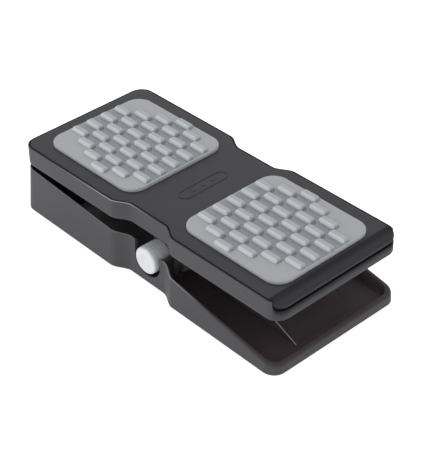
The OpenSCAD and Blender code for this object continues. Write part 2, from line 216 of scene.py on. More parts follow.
def stations(extra=()):
    """Places along a long side, toe to heel, where the outline needs a point."""
    bend = [WAIST_FLAT + (WAIST_END - WAIST_FLAT) * i / BEND_STEPS for i in range(BEND_STEPS + 1)]
    return sorted([-x for x in bend] + bend + list(extra))


def long_side(half, waist, side, extra=()):
    """One long side taken anticlockwise: side is -1 for the near one and 1 for the far one."""
    points = []
    for x in stations(extra):
        pull = 1 - ease((abs(x) - WAIST_FLAT) / (WAIST_END - WAIST_FLAT))
        points.append((x, side * (half - waist * pull)))
    return points if side < 0 else points[::-1]


def outline(length, width, corner, waist, near=(), turns=None):
    """A long plate with round corners and two waists, anticlockwise from the toe's near corner."""
    cx, cy = length / 2 - corner, width / 2 - corner
    turns = turns or [90 * i / ARC_STEPS for i in range(ARC_STEPS + 1)]
    return (arc(-cx, -cy, corner, 180, 90) + long_side(width / 2, waist, -1, near)
            + arc_at(cx, -cy, corner, [t - 90 for t in turns])
            + arc_at(cx, cy, corner, [90 - t for t in turns[::-1]])
            + long_side(width / 2, waist, 1) + arc(-cx, cy, corner, 90, 90))


def rounded_rectangle(length, width, corner, steps=ARC_STEPS):
    """A rectangle with round corners, anticlockwise."""
    points = []
    for qx, qy, start in ((1, 1, 0), (-1, 1, 90), (-1, -1, 180), (1, -1, 270)):
        cx, cy = qx * (length / 2 - corner), qy * (width / 2 - corner)
        points += arc(cx, cy, corner, start, 90, steps)
    return points


def mesh_object(name, bm, sharp=35.0):
    """Turns a bmesh in millimetres into an object in metres, smooth but for its sharp edges."""
    bmesh.ops.recalc_face_normals(bm, faces=bm.faces)
    mesh = bpy.data.meshes.new(name)
    bm.to_mesh(mesh)
    bm.free()
    mesh.transform(Matrix.Scale(MM, 4))
    made = bpy.data.objects.new(name, mesh)
    bpy.context.scene.collection.objects.link(made)
    soften(made, sharp)
    return made


def soften(made, sharp=35.0):
    """Shades smooth, with edges steeper than the angle kept sharp."""
    made.data.shade_smooth()
    made.data.set_sharp_from_angle(angle=math.radians(sharp))


def loft(rings, closed=False, marks=None):
    """Skins rings of equally many points; the ends get flat faces, or the last joins the first.

    marks, a number or a list of numbers for each ring, are kept on the points as "mark".
    """
    bm = bmesh.new()
    layer = bm.verts.layers.float.new("mark") if marks else None
    rows = [[bm.verts.new(p) for p in ring] for ring in rings]
    for row, mark in zip(rows, marks or ()):
        for vertex, share in zip(row, mark if isinstance(mark, list) else [mark] * len(row)):
            vertex[layer] = share
    following = rows[1:] + (rows[:1] if closed else [])
    for low, high in zip(rows, following):
        for k in range(len(low)):
            n = (k + 1) % len(low)
            bm.faces.new((low[k], low[n], high[n], high[k]))
    if not closed:
        bm.faces.new(rows[0][::-1])
        bm.faces.new(rows[-1])
    return bm


def prism(name, points, z0, z1):
    """A flat-ended block on a plan outline."""
    return mesh_object(name, loft([[(x, y, z) for x, y in points] for z in (z0, z1)]))


def spin(profile, steps, axis_point, turn):
    """Spins (radius, distance) pairs about a line: turn takes the +Z axis to that line."""
    rings = []
    place = Matrix.Translation(axis_point) @ turn
    for radius, along in profile:
        ring = []
        for i in range(steps):
            a = 2 * math.pi * i / steps
            ring.append(place @ Vector((radius * math.cos(a), radius * math.sin(a), along)))
        rings.append(ring)
    return loft(rings)


def applied(made):
    """The object with its modifiers worked into a plain mesh."""
    graph = bpy.context.evaluated_depsgraph_get()
    mesh = bpy.data.meshes.new_from_object(made.evaluated_get(graph))
    made.modifiers.clear()
    old = made.data
    made.data = mesh
    bpy.data.meshes.remove(old)
    return made


def bevel(made, width, segments=2, angle=38.0):
    """Rounds the sharp edges of a finished mesh."""
    rounding = made.modifiers.new("rounding", "BEVEL")
    rounding.width = width * MM
    rounding.segments = segments
    rounding.limit_method = "ANGLE"
    rounding.angle_limit = math.radians(angle)
    applied(made)
    soften(made)
    return made


def cut(made, cutters):
    """Takes each cutter object away from a mesh and deletes it."""
    for cutter in cutters:
        hole = made.modifiers.new("hole", "BOOLEAN")
        hole.operation = "DIFFERENCE"
        hole.solver = "EXACT"
        hole.object = cutter
        applied(made)
        bpy.data.objects.remove(cutter)
    soften(made)
    return made


def block(name, low, high):
    """A box between two corners, in millimetres."""
    bm = bmesh.new()
    bmesh.ops.create_cube(bm, size=1)
    size = [h - l for l, h in zip(low, high)]
    middle = Vector([(l + h) / 2 for l, h in zip(low, high)])
    place = Matrix.Translation(middle) @ Matrix.Diagonal((*size, 1))
    bmesh.ops.transform(bm, matrix=place, verts=bm.verts)
    return mesh_object(name, bm)


def bar(name, start, turn, radius, length, steps=48):
    """A round bar from a point, along +Z turned by a matrix."""
    return mesh_object(name, spin([(radius, 0), (radius, length)], steps, Vector(start), turn))


def settle(made, node, finish):
    """Gives a piece its finish and body, and hides the CAD node it takes the place of."""
    made.data.materials.clear()
    made.data.materials.append(finish)
    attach(made, BODIES[node])
    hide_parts(node)
    return made


# Finishes -------------------------------------------------------------------

def tone(code):
    """Linear colour from a six-digit sRGB code."""
    levels = [int(code[i:i + 2], 16) / 255 for i in (0, 2, 4)]
    linear = [v / 12.92 if v <= 0.04045 else ((v + 0.055) / 1.055) ** 2.4 for v in levels]
    return (*linear, 1.0)


class Term:
    """A shader socket that takes part in Python arithmetic."""

    def __init__(self, finish, socket):
        self.finish = finish
        self.socket = socket

    def math(self, operation, first, second):
        made = self.finish.node("ShaderNodeMath", {"operation": operation}, {0: first, 1: second})
        return Term(self.finish, made.outputs[0])

    def __add__(self, other):
        return self.math("ADD", self, other)

    def __radd__(self, other):
        return self.math("ADD", other, self)

    def __mul__(self, other):
        return self.math("MULTIPLY", self, other)

    def __rmul__(self, other):
        return self.math("MULTIPLY", other, self)


class Finish:
    """A material made of nodes, with short calls for the parts it is built from."""

    def __init__(self, name, **constants):
        self.material = bpy.data.materials.new(name)
        self.material.use_nodes = True
        self.tree = self.material.node_tree
        self.tree.nodes.clear()
        self.shader = self.node("ShaderNodeBsdfPrincipled", {}, constants)
        output = self.node("ShaderNodeOutputMaterial")
        self.tree.links.new(self.shader.outputs[0], output.inputs["Surface"])
        self.place = Term(self, self.node("ShaderNodeTexCoord").outputs["Object"])

    def node(self, kind, settings={}, sockets={}):
        """Any node: its settings first, then the values or links of its sockets."""
        made = self.tree.nodes.new(kind)
        for key, value in settings.items():
            setattr(made, key, value)
        for key, value in sockets.items():
            if isinstance(value, Term):
                self.tree.links.new(value.socket, made.inputs[key])
            else:
                made.inputs[key].default_value = value
        return made

    def noise(self, size_mm, detail=3.0, roughness=0.55, stretch=None):
        """Noise whose features are about size_mm across, from 0 to 1."""
        where = self.place
        if stretch:
            mapping = self.node("ShaderNodeMapping", {}, {"Vector": where, "Scale": stretch})
            where = Term(self, mapping.outputs[0])
        made = self.node("ShaderNodeTexNoise", {}, {
            "Vector": where, "Scale": 1 / (size_mm * MM), "Detail": detail,
            "Roughness": roughness})
        return Term(self, made.outputs["Fac"])

    def attribute(self, name):
        """A number kept on the piece's points."""
        made = self.node("ShaderNodeAttribute", {"attribute_name": name})
        return Term(self, made.outputs["Fac"])

    def span(self, value, low, high, to_low=0.0, to_high=1.0):
        """Maps low..high of a value onto to_low..to_high, smoothly."""
        made = self.node("ShaderNodeMapRange", {"interpolation_type": "SMOOTHSTEP"}, {
            "Value": value, "From Min": low, "From Max": high,
            "To Min": to_low, "To Max": to_high})
        return Term(self, made.outputs[0])

    def blend(self, share, first, second):
        """A colour between two colours."""
        made = self.node("ShaderNodeMix", {"data_type": "RGBA"}, {0: share, 6: first, 7: second})
        return Term(self, made.outputs[2])

    def set(self, socket, value):
        """Leads a value into one of the shader's sockets."""
        self.tree.links.new(value.socket, self.shader.inputs[socket])

    def bump(self, height, distance_mm):
        """Raises the surface by a height from 0 to 1, at full strength."""
        made = self.node("ShaderNodeBump", {}, {
            "Strength": 1.0, "Distance": distance_mm * MM, "Height": height})
        self.set("Normal", Term(self, made.outputs[0]))


def shade(colour, factor):
    """A colour made darker or lighter."""
    return tuple(min(1.0, c * factor) for c in colour[:3]) + (1.0,)


def moulded_plastic(name, colour, roughness, gloss=0.5, inside=None):
    """Spark-textured moulding: a fine grain, a slow drift of colour and a little scuffing.

    Where the attribute "mark" is 1 the surface takes the inside colour as painted shade and is
    coarser, and where it is -1 it takes a painted highlight and is smoother.
    """
    made = Finish(name, **{"Specular IOR Level": gloss})
    drift = made.noise(28, detail=2.0)
    scuffs = made.span(made.noise(5, detail=5.0, roughness=0.7), 0.58, 0.8)
    grains = made.noise(0.35, detail=2.0)
    body = made.blend(drift, shade(colour, 0.88), shade(colour, 1.12))
    body = made.blend(scuffs * 0.35, body, shade(colour, 1.45))
    rough = roughness - 0.05 + 0.1 * drift + 0.08 * grains + 0.08 * scuffs
    # inside is the colour of the painted shade where "mark" is 1
    if inside:
        mark = made.attribute("mark")
        painted_shade = made.blend(drift, shade(inside, 0.85), shade(inside, 1.15))
        body = made.blend(made.span(mark, 0.0, 1.0), body, painted_shade)
        # where "mark" is -1 a painted highlight: the colour made paler
        body = made.blend(made.span(mark, -0.1, -1.0), body, shade(colour, HIGHLIGHT_PALER))
        rough = rough + 0.2 * mark
    made.set("Base Color", body)
    made.set("Roughness", rough)
    made.bump(grains, 0.02)
    return made.material


def soft_rubber(name, colour):
    """Black rubber with a bloom and a pebbled skin."""
    made = Finish(name, **{"Specular IOR Level": 0.35})
    bloom = made.noise(9, detail=4.0)
    pebbles = made.noise(0.6, detail=2.0)
    made.set("Base Color", made.blend(bloom, shade(colour, 0.8), shade(colour, 1.35)))
    made.set("Roughness", 0.67 + 0.16 * bloom)
    made.bump(pebbles, 0.05)
    return made.material


def pad_rubber():
    """Grey moulded rubber.

    It has painted shade in the pits and on the blocks' heel-side ends, a painted highlight on the
    blocks' near edges and round the rim, and is paler on the blocks' tops.
    """
    made = Finish("pad_rubber", **{"Specular IOR Level": 0.4})
    relief = made.attribute("relief")
    drift = made.noise(14, detail=4.0)
    specks = made.noise(0.5, detail=2.0)
    # low is painted shade, for the pits and the blocks' heel-side ends
    low = made.blend(drift, tone("7b8085"), tone("83888c"))
    plain = made.blend(drift, tone("8d8f92"), tone("95979a"))
    raised = made.blend(drift, tone("919599"), tone("9a9ea1"))
    colour = made.blend(made.span(relief, -0.7, -0.1), low, plain)
    # raised is on the blocks' tops, and round the pad's rim it stands as a painted highlight
    colour = made.blend(made.span(relief, 0.3, 1.2), colour, raised)
    # a painted highlight on the blocks' near edges
    colour = made.blend(made.span(relief, 1.3, 2.3), colour, tone("b6b9bd"))
    dust = made.span(specks, 0.6, 0.8) * 0.25
    made.set("Base Color", made.blend(dust, colour, tone("8c8f92")))
    made.set("Roughness", 0.5 + 0.14 * drift + 0.06 * specks)
    made.bump(specks, 0.03)
    return made.material


def drawn_steel(name, colour, roughness, stretch=(1, 1, 18)):
    """Plated or turned steel with fine lines along one way."""
    made = Finish(name, Metallic=1.0)
    lines = made.noise(1.2, detail=4.0, stretch=stretch)
    stains = made.noise(6, detail=3.0)
    made.set("Base Color", made.blend(stains, shade(colour, 0.82), shade(colour, 1.12)))
    made.set("Roughness", roughness - 0.07 + 0.16 * lines + 0.06 * stains)
    made.bump(lines, 0.01)
    return made.material


def white_nylon():
    """Milky nylon with faint flow marks."""
    made = Finish("white_nylon", **{
        "Subsurface Weight": 0.15, "Subsurface Radius": (0.002, 0.0018, 0.0014)})
    flow = made.noise(7, detail=3.0, stretch=(1, 1, 3))
    made.set("Base Color", made.blend(flow, tone("dedace"), tone("ece9e0")))
    made.set("Roughness", 0.4 + 0.14 * flow)
    made.bump(made.noise(0.5), 0.015)
    return made.material


def knob_plastic():
    """Pale grey satin plastic, a little greyer where fingers rub."""
    made = Finish("knob_plastic", **{"Specular IOR Level": 0.5})
    wear = made.noise(4, detail=5.0)
    grains = made.noise(0.3, detail=2.0)
    tone_shift = made.span(wear, 0.35, 0.75)
    made.set("Base Color", made.blend(tone_shift, tone("bfc1c4"), tone("b4b6ba")))
    made.set("Roughness", 0.4 + 0.15 * wear + 0.05 * grains)
    made.bump(grains, 0.02)
    return made.material


def solder_mask():
    """A green circuit board with tracks pressed under the mask."""
    made = Finish("solder_mask", **{"Coat Roughness": 0.15})
    tracks = made.node("ShaderNodeTexBrick", {"offset": 0.5}, {
        "Vector": made.place, "Color1": (1, 1, 1, 1), "Color2": (0.7, 0.7, 0.7, 1),
        "Mortar": (0, 0, 0, 1), "Scale": 320.0, "Mortar Size": 0.08})
    copper = Term(made, tracks.outputs["Color"])
    made.set("Base Color", made.blend(copper, tone("2f7a4d"), tone("1b5236")))
    made.set("Roughness", 0.28 + 0.12 * made.noise(3))
    made.bump(copper, 0.03)
    return made.material


def pale_floor():
    """The studio floor: matt and almost white."""
    made = Finish("pale_floor", **{"Emission Strength": 0.6, "Emission Color": (1, 1, 1, 1)})
    sweep = made.noise(900, detail=1.0)
    made.set("Base Color", made.blend(sweep, (0.9, 0.9, 0.9, 1), (0.93, 0.93, 0.93, 1)))
    made.set("Roughness", 0.8 + 0.1 * sweep)
    return made.material


# The "inside" colours are painted shade, for where the attribute "mark" is 1
FINISHES = {
    "base_plastic": moulded_plastic(
        "base_plastic", tone("3c3c3f"), roughness=0.5, gloss=0.18, inside=tone("40373a")),
    "cover_plastic": moulded_plastic("cover_plastic", tone("352e30"), roughness=0.6, gloss=0.2),
    "rubber_black": soft_rubber("rubber_black", tone("222224")),
    "plated_steel": drawn_steel(
        "plated_steel", tone("a3a5a6"), roughness=0.42, stretch=(1, 18, 1)),
    "bright_steel": drawn_steel(
        "bright_steel", tone("c4c6c8"), roughness=0.25, stretch=(18, 1, 18)),
    "nut_brass": drawn_steel("nut_brass", tone("8f8266"), roughness=0.45),
    "board_green": solder_mask(),
    "component_black": moulded_plastic("component_black", tone("1d1d1f"), roughness=0.5),
    "white_nylon": white_nylon(),
    "cap_plastic": moulded_plastic(
        "cap_plastic", tone("2c2b30"), roughness=0.46, gloss=0.18, inside=tone("141215")),
    "skirt_plastic": moulded_plastic(
        "skirt_plastic", tone("3c3c40"), roughness=0.5, gloss=0.18, inside=tone("161416")),
    "grip_rubber": pad_rubber(),
    "knob_plastic": knob_plastic(),
}


# Treadle --------------------------------------------------------------------

def tread_ring(inset, z, turns=None):
    """One level of the treadle's outline, shrunk by inset."""
    corner = max(TREAD_CORNER - inset, 0.5)
    length, width = TREAD_LENGTH - 2 * inset, TREAD_WIDTH - 2 * inset
    points = outline(length, width, corner, TREAD_WAIST, turns=turns)
    return [(x + TREAD_SHIFT, y, z) for x, y in points]


def quarter_round(inset, z, radius, steps=4):
    """(inset, z) pairs that turn an upright edge into a level one."""
    turns = [math.pi / 2 * i / steps for i in range(steps + 1)]
    return [(inset + radius * (1 - math.cos(a)), z - radius * (1 - math.sin(a))) for a in turns]


def on_treadle(made):
    """Moves a mesh from the treadle's own frame into place."""
    made.data.transform(TREAD_FRAME)
    return made


def make_cap():
    """The flat top of the treadle, up to where the nose slopes away, with a pocket for each pad."""
    levels = [(CAP_INSET, CAP_BOTTOM)] + quarter_round(CAP_INSET, TREAD_TOP, CAP_EDGE)
    rings = [[(min(x, NOSE_START), y, z) for x, y, z in tread_ring(i, level)]
             for i, level in levels]
    made = mesh_object("tread_plate", loft(rings), 50)
    pockets = []
    for side in (-1, 1):
        plan = rounded_rectangle(
            PAD_LENGTH + 2 * PAD_GAP, PAD_WIDTH + 2 * PAD_GAP, PAD_CORNER + PAD_GAP)
        plan = [(TREAD_SHIFT + side * PAD_OFFSET + x, y) for x, y in plan]
        pockets.append(prism("pad_pocket", plan, TREAD_TOP - PAD_POCKET, TREAD_TOP + 5))
    return on_treadle(cut(made, pockets))


def step_ceiling(turn):
    """Height of the skirt below the nose, by the angle round a heel corner."""
    run = TREAD_CORNER * (math.sin(math.radians(turn)) - math.sin(math.radians(RIM_STOP)))
    left = 1 - min(max(run / STEP_RUN, 0), 1)
    return NOSE_BOTTOM - NOSE_GAP + STEP_RISE * (1 - math.sqrt(1 - left * left))


def nose_top(along):
    """Height of the nose's upper surface, by the distance beyond its crease."""
    return TREAD_TOP - NOSE_SLOPE * along - NOSE_CURVE * along ** 2


def nose_section(turn, flush):
    """Half-section of the nose outwards from a corner's centre: (reach, z) pairs."""
    lean = math.sin(math.radians(turn))
    reach = TREAD_CORNER if flush else TREAD_CORNER - CAP_INSET
    low = step_ceiling(turn) + NOSE_GAP if flush else CAP_BOTTOM
    round_x, round_z = NOSE_ROUND if flush else (CAP_EDGE, CAP_EDGE)
    round_z = min(round_z, 0.5 * (nose_top(reach * lean) - low))
    tuck = NOSE_TUCK if flush else 0.0
    section = [(r, nose_top(r * lean)) for r in [(reach - round_x) * i / 10 for i in range(11)]]
    for i in range(1, 8):
        a = math.pi / 2 * i / 7
        r = reach - round_x * (1 - math.sin(a))
        section.append((r, nose_top(r * lean) - round_z * (1 - math.cos(a))))
    widest = section[-1][1]
    for i in range(1, 9):
        a = math.pi / 2 * i / 8
        inward, drop = tuck * (1 - math.cos(a)), (widest - low) * math.sin(a)
        section.append((reach - inward, widest - drop))
    return section + [(0.0, low)]


def nose_mark(reach, z, turn):
    """How much painted shade the nose gets: most in the crease and under the bead."""
    along = reach * math.sin(math.radians(turn))
    crease = (CREASE_SHADE + CREASE_DEEPER * ease(along / 1.5)
              - CREASE_FADE * ease((along - 2) / 6))
    under = ease((nose_top(along) - 0.6 - z) / 2)
    return max(crease, under)


def make_nose():
    """The heel end of the cap: it slopes away from a crease and ends in a tucked-under bead."""
    turns = sorted([90 * i / 24 for i in range(25)] + [NOSE_FLUSH - 0.2, NOSE_FLUSH])
    half = TREAD_WIDTH / 2 - TREAD_CORNER
    rings = []
    marks = []
    for side in (-1, 1):
        for turn in turns[::-side]:
            angle = side * math.radians(90 - turn)
            section = nose_section(turn, turn >= NOSE_FLUSH)
            along, across = math.cos(angle), math.sin(angle)
            rings.append([(NOSE_START + r * along, side * half + r * across, z)
                          for r, z in section])
            marks.append([nose_mark(r, z, turn) for r, z in section])
    bm = loft(rings, marks=marks)
    bmesh.ops.remove_doubles(bm, verts=bm.verts, dist=0.003)
    return on_treadle(mesh_object("heel_nose", bm, 50))


def skirt_mark(x, y, z, height, ceiling):
    """The skirt's painted light: a painted highlight on the near rim by the waist, painted shade below the nose.
    """
    if ceiling is not None:
        return STEP_SHADE + STEP_DEEPER * ease(1 - (ceiling - height) / 5)
    if z > RIM_TOP - 0.3 and y < 0:
        return SKIRT_HIGHLIGHT * ease(1.5 - abs(x - SKIRT_HIGHLIGHT_PLACE) / SKIRT_HIGHLIGHT_FADE)
    return 0.0


def make_skirt():
    """The treadle's side walls, stepped down round the heel to carry the nose."""
    turns = sorted([90 * i / 24 for i in range(25)] + [RIM_STOP - 0.1, RIM_STOP + 0.1]
                   + [RIM_STOP + 0.1 + i * i * 0.4 for i in range(1, 5)])
    flat = [None] * (ARC_STEPS + 1 + len(stations()))
    steps = [step_ceiling(t) if t > RIM_STOP else None for t in turns]
    ceilings = flat + steps + steps[::-1] + flat
    foot = [(0.4, SKIRT_BOTTOM), (0.12, SKIRT_BOTTOM + 0.12), (0, SKIRT_BOTTOM + 0.4)]
    bands = [(0, NOSE_BOTTOM - drop) for drop in STEP_BANDS]
    rim = [(0, RIM_TOP - 0.6), (0, RIM_TOP - 0.25), (0.07, RIM_TOP - 0.07), (0.25, RIM_TOP),
           (RIM_WALL - 0.15, RIM_TOP), (RIM_WALL, RIM_TOP - 0.15), (RIM_WALL, CAP_BOTTOM)]
    inner = [(SKIRT_WALL, CAP_BOTTOM), (SKIRT_WALL, SKIRT_BOTTOM + 0.3),
             (SKIRT_WALL - 0.3, SKIRT_BOTTOM)]
    rings = []
    marks = []
    for inset, z in foot + bands + rim + inner:
        ring = []
        shares = []
        for (x, y, _), ceiling in zip(tread_ring(inset, z, turns), ceilings):
            height = z
            if ceiling is not None:
                height = z - (RIM_TOP - ceiling) if z > CAP_BOTTOM + 1 else min(z, ceiling - 0.15)
            ring.append((x, y, height))
            shares.append(skirt_mark(x, y, z, height, ceiling))
        rings.append(ring)
        marks.append(shares)
    return on_treadle(mesh_object("tread_skirt", loft(rings, closed=True, marks=marks), 40))


def make_badge():
    """A plain low-relief badge across the waist: a long ring with three studs in it."""
    long_half, short_half, width, rise = BADGE_RING
    bm = bmesh.new()

    def ring(inset, z):
        points = arc(0, long_half - short_half, short_half - inset, 0, 180, 16)
        points += arc(0, short_half - long_half, short_half - inset, 180, 180, 16)
        return [(TREAD_SHIFT + x, y, z) for x, y in points]

    low, high, edge = TREAD_TOP - 0.1, TREAD_TOP + rise, 0.12
    section = [(0, low), (0, high - edge), (edge, high), (width - edge, high),
               (width, high - edge), (width, low)]
    rows = [[bm.verts.new(p) for p in ring(i, z)] for i, z in section]
    for a, b in zip(rows, rows[1:] + rows[:1]):
        for k in range(len(a)):
            n = (k + 1) % len(a)
            bm.faces.new((a[k], a[n], b[n], b[k]))
    for y in BADGE_STUDS:
        stud = bmesh.ops.create_cone(
            bm, cap_ends=True, segments=32, radius1=1.9, radius2=1.5, depth=rise + 0.1)
        place = (TREAD_SHIFT, y, TREAD_TOP + rise / 2 - 0.05)
        bmesh.ops.translate(bm, verts=stud["verts"], vec=place)
    return on_treadle(mesh_object("waist_badge", bm, 40))


# Pads -----------------------------------------------------------------------

def rounded_distance(x, y, length, width, corner):
    """How far points lie inside a rectangle with round corners; negative outside."""
    qx = np.abs(x) - (length / 2 - corner)
    qy = np.abs(y) - (width / 2 - corner)
    outside = np.hypot(np.maximum(qx, 0), np.maximum(qy, 0))
    return corner - outside - np.minimum(np.maximum(qx, qy), 0)


def smooth_step(low, high, value):
    """Goes from 0 at low to 1 at high with flat ends, for a whole grid."""
    t = np.clip((value - low) / (high - low), 0, 1)
    return t * t * (3 - 2 * t)


def column_count(i):
    """Blocks in a column, from the pad's outer end to the treadle's middle."""
    return LONGEST_COLUMN - abs(i - COLUMNS // 2)


def column_x(i, side):
    """Place of a column along the pad, from the pad's middle."""
    return side * ((COLUMNS - 1) / 2 - i) * COLUMN_PITCH


def edge_spaced(half, count):
    """Evenly spaced places from -half to half, with extra ones where the edge is rounded."""
    inner = np.linspace(-half + PAD_EDGE, half - PAD_EDGE, count)
    rim = half - PAD_EDGE * (1 - np.cos(np.linspace(0, math.pi / 2, 6)))[:-1]
    return np.concatenate([-rim, inner, rim[::-1]])


def pad_surface(side):
    """Heights of a pad's body: a plain rounded plate with a pit between neighbouring blocks."""
    xs = edge_spaced(PAD_LENGTH / 2, 150)
    share = edge_spaced(PAD_WIDTH / 2, 144) / (PAD_WIDTH / 2)
    past_corner = np.maximum(np.abs(xs) - (PAD_LENGTH / 2 - PAD_CORNER), 0)
    half = PAD_WIDTH / 2 - PAD_CORNER + np.sqrt(np.maximum(PAD_CORNER ** 2 - past_corner ** 2, 0))
    x = np.repeat(xs[:, None], len(share), 1)
    y = half[:, None] * share[None, :]
    inside = np.clip(rounded_distance(x, y, PAD_LENGTH, PAD_WIDTH, PAD_CORNER), 0, PAD_EDGE)
    z = PAD_RISE - PAD_EDGE + np.sqrt(np.maximum(PAD_EDGE ** 2 - (PAD_EDGE - inside) ** 2, 0))
    pit_length = 2 * COLUMN_PITCH - BLOCK_LENGTH
    pits = np.zeros_like(z)
    for i in range(COLUMNS):
        for j in range(column_count(i) - 1):
            cy = (j + 0.5 - (column_count(i) - 1) / 2) * ROW_PITCH
            depth = smooth_step(-1.1, 0.7, rounded_distance(
                x - column_x(i, side), y - cy, pit_length, ROW_PITCH - BLOCK_WIDTH, PIT_CORNER))
            pits = np.maximum(pits, depth)
    # a painted highlight round the pad's rim, and painted shade in the pits
    rim = RIM_HIGHLIGHT_RELIEF * (1 - smooth_step(0.3, 1.2, inside))
    return x, y, z - PIT_DEPTH * pits, rim - PIT_DEPTH * pits


def make_pad_body(side, name):
    """A pad's body as one closed shell on a grid that follows the rounded outline."""
    x, y, z, relief = pad_surface(side)
    rows, columns = x.shape
    bm = bmesh.new()
    layer = bm.verts.layers.float.new("relief")
    top = [[bm.verts.new((x[i, j], y[i, j], z[i, j])) for j in range(columns)]
           for i in range(rows)]
    for i in range(rows):
        for j in range(columns):
            top[i][j][layer] = float(relief[i, j])
    for i in range(rows - 1):
        for j in range(columns - 1):
            bm.faces.new((top[i][j], top[i + 1][j], top[i + 1][j + 1], top[i][j + 1]))
    rim = ([top[i][0] for i in range(rows)] + [top[rows - 1][j] for j in range(1, columns)]
           + [top[i][columns - 1] for i in range(rows - 2, -1, -1)]
           + [top[0][j] for j in range(columns - 2, 0, -1)])
    foot = [bm.verts.new((v.co.x, v.co.y, -PAD_POCKET)) for v in rim]
    for k in range(len(rim)):
        n = (k + 1) % len(rim)
        bm.faces.new((rim[k], rim[n], foot[n], foot[k]))
    bm.faces.new(foot)
    made = mesh_object(name, bm, 60)
    made.data.transform(TREAD_FRAME @ Matrix.Translation(
        Vector((TREAD_SHIFT + side * PAD_OFFSET, 0, TREAD_TOP)) * MM))
    return made


def make_block_pattern():
    """One grip block: drafted sides, round corners and a rolled edge round a nearly flat top.

    Its near edge has a painted highlight and its heel-side end painted shade.
    """
    rings = []
    foot = -PIT_DEPTH - 0.3
    for inset, share in BLOCK_PROFILE:
        length, width = BLOCK_LENGTH - 2 * inset, BLOCK_WIDTH - 2 * inset
        ring = rounded_rectangle(length, width, max(BLOCK_CORNER - inset, 0.7), 5)
        rings.append([(x, y, foot + share * (BLOCK_RISE - foot)) for x, y in ring])
    bm = loft(rings)
    layer = bm.verts.layers.float.new("relief")
    for v in bm.verts:
        v[layer] = min(RELIEF_TOP + v.co.z, RELIEF_TOP)
        # a painted highlight on the near edge, painted shade on the heel-side end
        if v.co.y < 1.6 - BLOCK_WIDTH / 2 and v.co.z > 0.2:
            v[layer] = RELIEF_LIT
        if v.co.x > BLOCK_LENGTH / 2 - 0.3:
            v[layer] = RELIEF_SHADED
    return mesh_object("block_pattern", bm, 60)


class Geometry:
    """A Geometry Nodes tree with the same one call for any node."""

    def __init__(self, name, sizes):
        self.tree = bpy.data.node_groups.new(name, "GeometryNodeTree")
        named = self.tree.interface
        named.new_socket("Geometry", in_out="OUTPUT", socket_type="NodeSocketGeometry")
        for label, kind in sizes.items():
            named.new_socket(label, in_out="INPUT", socket_type=kind)
        self.inputs = self.tree.nodes.new("NodeGroupInput")
        self.output = self.tree.nodes.new("NodeGroupOutput")

    def size(self, label):
        """One of the tree's named inputs."""
        return self.inputs.outputs[label]

    def node(self, kind, settings={}, sockets={}):
        """Any node, made as in Finish; gives its outputs."""
        made = self.tree.nodes.new(kind)
        for key, value in settings.items():
            setattr(made, key, value)
        for key, value in sockets.items():
            if isinstance(value, bpy.types.NodeSocket):
                self.tree.links.new(value, made.inputs[key])
            else:
                made.inputs[key].default_value = value
        return made.outputs

    def math(self, operation, first, second=0.0):
        return self.node("ShaderNodeMath", {"operation": operation}, {0: first, 1: second})[0]

    def finish(self, geometry):
        """Makes the copies real, gives them their finish and leads them out."""
        real = self.node("GeometryNodeRealizeInstances", {}, {0: geometry})[0]
        dressed = self.node("GeometryNodeSetMaterial", {}, {
            "Geometry": real, "Material": self.size("Finish")})[0]
        self.tree.links.new(dressed, self.output.inputs[0])

    def grow(self, name, values):
        """Runs the tree on an empty mesh and returns the result as a plain mesh object."""
        made = bpy.data.objects.new(name, bpy.data.meshes.new(name))
        bpy.context.scene.collection.objects.link(made)
        grower = made.modifiers.new("grower", "NODES")
        grower.node_group = self.tree
        for item in self.tree.interface.items_tree:
            if item.in_out == "INPUT" and item.name in values:
                grower[item.identifier] = values[item.name]
        bpy.context.view_layer.update()
        return applied(made)


def block_field_tree():
    """Staggered columns of blocks: the middle one is the longest, each next one a block shorter."""
    tree = Geometry("block_field", {
        "Columns": "NodeSocketInt", "Longest": "NodeSocketInt",
        "Column pitch": "NodeSocketFloat", "Row pitch": "NodeSocketFloat",
        "Side": "NodeSocketFloat", "Block": "NodeSocketObject", "Finish": "NodeSocketMaterial"})
    total = tree.math("MULTIPLY", tree.size("Columns"), tree.size("Longest"))
    points = tree.node("GeometryNodePoints", {}, {"Count": total})[0]
    index = tree.node("GeometryNodeInputIndex")[0]
    column = tree.math("FLOOR", tree.math("DIVIDE", index, tree.size("Longest")))
    row = tree.math("MODULO", index, tree.size("Longest"))
    half = tree.math("FLOOR", tree.math("DIVIDE", tree.size("Columns"), 2.0))
    count = tree.math("SUBTRACT", tree.size("Longest"),
                      tree.math("ABSOLUTE", tree.math("SUBTRACT", column, half)))
    middle = tree.math("DIVIDE", tree.math("SUBTRACT", tree.size("Columns"), 1.0), 2.0)
    along = tree.math("MULTIPLY", tree.math("SUBTRACT", middle, column),
                      tree.size("Column pitch"))
    x = tree.math("MULTIPLY", along, tree.size("Side"))
    centre = tree.math("DIVIDE", tree.math("SUBTRACT", count, 1.0), 2.0)
    y = tree.math("MULTIPLY", tree.math("SUBTRACT", row, centre), tree.size("Row pitch"))
    place = tree.node("ShaderNodeCombineXYZ", {}, {"X": x, "Y": y})[0]
    moved = tree.node("GeometryNodeSetPosition", {}, {"Geometry": points, "Position": place})[0]
    spare = tree.math("GREATER_THAN", row, tree.math("SUBTRACT", count, 0.5))
    kept = tree.node("GeometryNodeDeleteGeometry", {"domain": "POINT"}, {
        "Geometry": moved, "Selection": spare})[0]
    shape = tree.node("GeometryNodeObjectInfo", {}, {"Object": tree.size("Block")})["Geometry"]
    blocks = tree.node("GeometryNodeInstanceOnPoints", {}, {"Points": kept, "Instance": shape})[0]
    tree.finish(blocks)
    return tree


